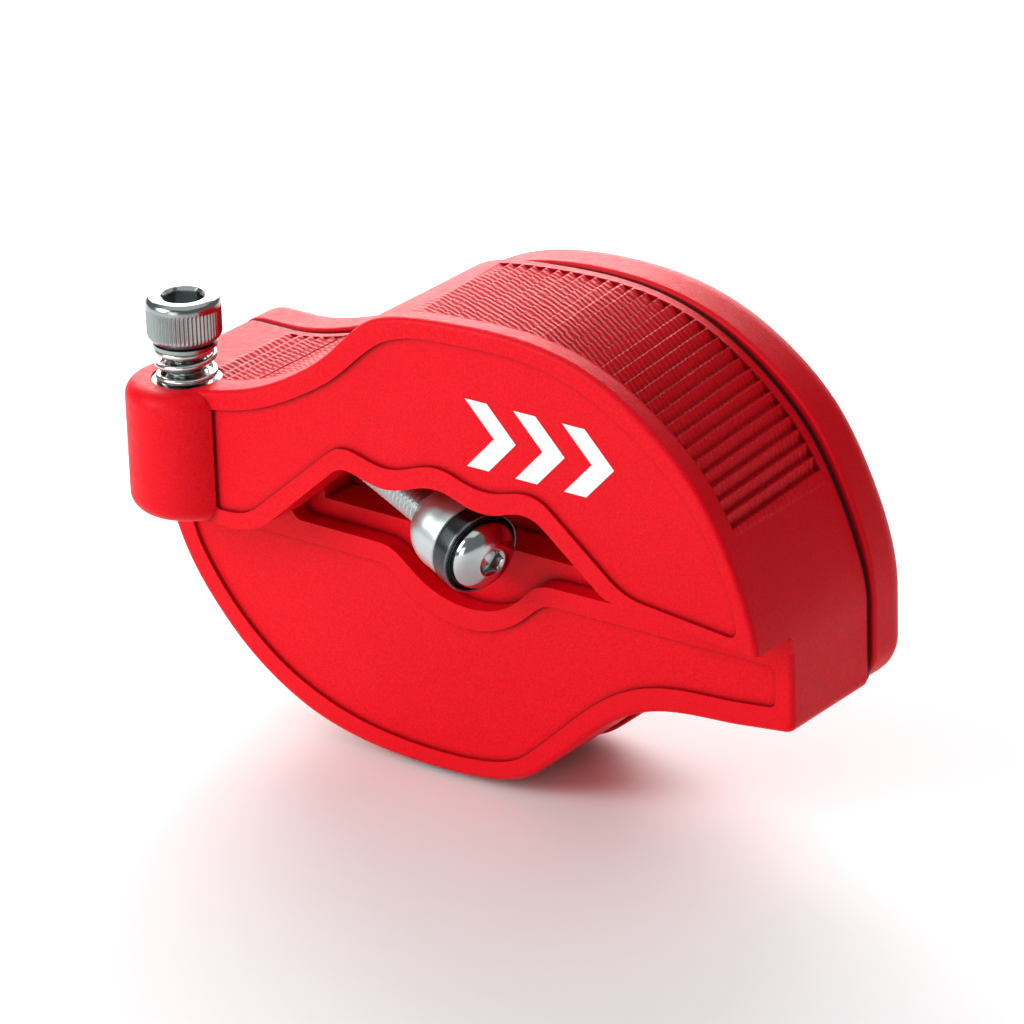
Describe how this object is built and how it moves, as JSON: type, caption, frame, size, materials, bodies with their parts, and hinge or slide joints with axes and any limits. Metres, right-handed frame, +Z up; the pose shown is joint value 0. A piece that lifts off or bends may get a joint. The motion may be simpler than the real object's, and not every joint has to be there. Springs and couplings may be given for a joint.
{
  "type": "edge tuning tool",
  "caption": "Hand-held sidewall cutter for ski and snowboard edges: a moulded housing with grip ribs, a slanted ring blade and a sprung depth screw.",
  "frame": {"origin": "on the plane of the guide face, level with the underside of the screw boss, at the middle of the blade chamber: the place where the ski's edge meets the tool", "axes": "+X along the travel from the depth screw towards the far foot, +Y from the guide face to the rear cover, +Z up along the depth screw"},
  "size_m": [0.1029, 0.0372, 0.0688],
  "materials": {
    "red_plastic": "fine spark-eroded texture",
    "gasket_rubber": "matt",
    "bright_steel": "bright zinc or nickel",
    "satin_steel": "satin turned",
    "blade_steel": "dark hardened, ground lip",
    "brass": "turned"
  },
  "bodies": {
    "housing_body": {"housing": "red_plastic", "rear_cover": "red_plastic", "cover_gasket": "gasket_rubber", "cover_screws": "bright_steel", "cover_inserts": "brass", "boss_insert": "brass", "spring_seat": "satin_steel", "blade_screw": "bright_steel", "blade_dome_nut": "satin_steel", "spindle_insert": "brass", "lock_washer": "bright_steel", "lock_nut": "bright_steel"},
    "adjuster": {"thrust_washer": "satin_steel", "depth_spring": "bright_steel"},
    "depth_screw_body": {"depth_screw": "satin_steel"},
    "blade_body": {"ring_blade": "blade_steel"}
  },
  "joints": [
    {"name": "depth_travel", "type": "slide", "parent": "housing_body", "child": "adjuster", "axis": [0, 0, 1], "range_m": [-0.0014, 0.003], "deforming": ["depth_spring"]},
    {"name": "depth_turn", "type": "hinge", "parent": "adjuster", "child": "depth_screw_body", "pos_m": [-0.0503, -0.0035, 0.02313], "axis": [0, 0, 1], "range_deg": [-505, 1081]},
    {"name": "blade_index", "type": "hinge", "parent": "housing_body", "child": "blade_body", "pos_m": [-0.00135, -0.005, 0.00495], "axis": [0.9399, -0.2841, -0.1894], "continuous": true}
  ],
  "couplings": [
    {"joint": "depth_turn", "follows": "depth_travel", "rad_per_m": 6283.2}
  ]
}
